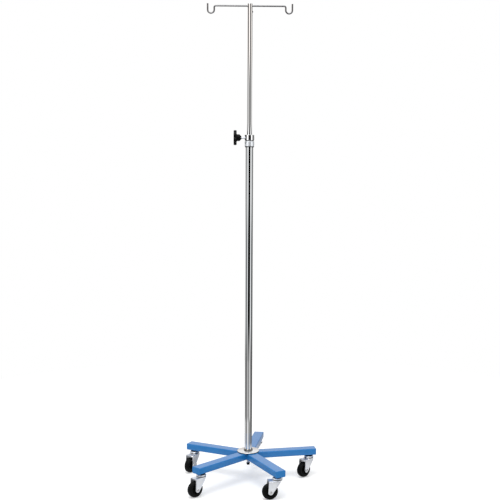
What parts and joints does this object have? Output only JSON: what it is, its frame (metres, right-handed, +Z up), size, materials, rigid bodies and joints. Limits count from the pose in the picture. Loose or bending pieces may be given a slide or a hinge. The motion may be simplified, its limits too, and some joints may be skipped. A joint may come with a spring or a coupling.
{
  "type": "telescopic infusion stand",
  "caption": "Telescopic infusion stand: blue star base on swivel casters, chrome pole with a clamp knob, and a bent rod with a hook at each end.",
  "frame": {"origin": "the floor under the pole's axis", "axes": "+Z up along the pole, -X towards the clamp knob, +Y to the back of the stand"},
  "size_m": [0.5251, 0.5204, 1.8407],
  "materials": {
    "blue_paint": "gloss powder coat",
    "chrome_plate": "polished chrome plate",
    "zinc_plate": "bright zinc plate",
    "plain_steel": "plain turned steel",
    "black_rubber": "matte black rubber",
    "black_plastic": "moulded black plastic",
    "white_nylon": "natural nylon"
  },
  "bodies": {
    "base": {"leg_1": "blue_paint", "leg_2": "blue_paint", "leg_3": "blue_paint", "leg_4": "blue_paint", "leg_5": "blue_paint", "leg_end_cap_1": "blue_paint", "leg_end_cap_2": "blue_paint", "leg_end_cap_3": "blue_paint", "leg_end_cap_4": "blue_paint", "leg_end_cap_5": "blue_paint", "caster_socket_1": "blue_paint", "caster_socket_2": "blue_paint", "caster_socket_3": "blue_paint", "caster_socket_4": "blue_paint", "caster_socket_5": "blue_paint", "caster_stem_1": "zinc_plate", "caster_stem_2": "zinc_plate", "caster_stem_3": "zinc_plate", "caster_stem_4": "zinc_plate", "caster_stem_5": "zinc_plate", "base_hub": "blue_paint", "pole_flange": "chrome_plate", "pole_foot_plug": "plain_steel", "tie_stud": "plain_steel", "tie_washer": "zinc_plate", "tie_nut": "zinc_plate", "tie_end_cap": "black_rubber", "lower_tube": "chrome_plate", "clamp_collar": "chrome_plate", "collar_sleeve": "chrome_plate", "guide_bush": "white_nylon"},
    "slider": {"slide_bush": "white_nylon"},
    "upper_pole": {"upper_tube": "chrome_plate", "top_plug": "plain_steel", "hook_set_screw": "black_plastic", "hook_rod": "plain_steel"},
    "pad": {"clamp_pad": "white_nylon"},
    "knob": {"clamp_knob": "black_plastic", "clamp_stud": "zinc_plate"},
    "caster_1": {"caster_fork_1": "zinc_plate", "caster_axle_1": "zinc_plate"},
    "wheel_1": {"wheel_core_1": "black_plastic", "wheel_tyre_1": "black_rubber"},
    "caster_2": {"caster_fork_2": "zinc_plate", "caster_axle_2": "zinc_plate"},
    "wheel_2": {"wheel_core_2": "black_plastic", "wheel_tyre_2": "black_rubber"},
    "caster_3": {"caster_fork_3": "zinc_plate", "caster_axle_3": "zinc_plate"},
    "wheel_3": {"wheel_core_3": "black_plastic", "wheel_tyre_3": "black_rubber"},
    "caster_4": {"caster_fork_4": "zinc_plate", "caster_axle_4": "zinc_plate"},
    "wheel_4": {"wheel_core_4": "black_plastic", "wheel_tyre_4": "black_rubber"},
    "caster_5": {"caster_fork_5": "zinc_plate", "caster_axle_5": "zinc_plate"},
    "wheel_5": {"wheel_core_5": "black_plastic", "wheel_tyre_5": "black_rubber"}
  },
  "joints": [
    {"name": "height_slide", "type": "slide", "parent": "base", "child": "slider", "axis": [0, 0, 1], "range_m": [-0.455, 0.405]},
    {"name": "upper_turn", "type": "hinge", "parent": "slider", "child": "upper_pole", "pos_m": [0, 0, 0.8892], "axis": [0, 0, 1], "continuous": true},
    {"name": "pad_slide", "type": "slide", "parent": "base", "child": "pad", "axis": [-1, 0, 0], "range_m": [0, 0.0026]},
    {"name": "knob_turn", "type": "hinge", "parent": "pad", "child": "knob", "pos_m": [0, 0, 1.3362], "axis": [-1, 0, 0], "range_deg": [0, 720]},
    {"name": "caster_swivel_1", "type": "hinge", "parent": "base", "child": "caster_1", "pos_m": [0.24144, 0.03522, 0.0781], "axis": [0, 0, 1], "continuous": true},
    {"name": "wheel_roll_1", "type": "hinge", "parent": "caster_1", "child": "wheel_1", "pos_m": [0.22031, 0.01685, 0.03], "axis": [0.6561, -0.7547, 0], "continuous": true},
    {"name": "caster_swivel_2", "type": "hinge", "parent": "base", "child": "caster_2", "pos_m": [0.04111, 0.24051, 0.0781], "axis": [0, 0, 1], "continuous": true},
    {"name": "wheel_roll_2", "type": "hinge", "parent": "caster_2", "child": "wheel_2", "pos_m": [0.01354, 0.23565, 0.03], "axis": [0.1736, -0.9848, 0], "continuous": true},
    {"name": "caster_swivel_3", "type": "hinge", "parent": "base", "child": "caster_3", "pos_m": [-0.21604, 0.11342, 0.0781], "axis": [0, 0, 1], "continuous": true},
    {"name": "wheel_roll_3", "type": "hinge", "parent": "caster_3", "child": "wheel_3", "pos_m": [-0.23129, 0.08994, 0.03], "axis": [0.8387, -0.5446, 0], "continuous": true},
    {"name": "caster_swivel_4", "type": "hinge", "parent": "base", "child": "caster_4", "pos_m": [-0.17463, -0.17041, 0.0781], "axis": [0, 0, 1], "continuous": true},
    {"name": "wheel_roll_4", "type": "hinge", "parent": "caster_4", "child": "wheel_4", "pos_m": [-0.19608, -0.18841, 0.03], "axis": [0.6428, -0.766, 0], "continuous": true},
    {"name": "caster_swivel_5", "type": "hinge", "parent": "base", "child": "caster_5", "pos_m": [0.10811, -0.21874, 0.0781], "axis": [0, 0, 1], "continuous": true},
    {"name": "wheel_roll_5", "type": "hinge", "parent": "caster_5", "child": "wheel_5", "pos_m": [0.08053, -0.2236, 0.03], "axis": [0.1736, -0.9848, 0], "continuous": true}
  ],
  "couplings": [
    {"joint": "pad_slide", "follows": "knob_turn", "m_per_rad": 0.00019894}
  ]
}
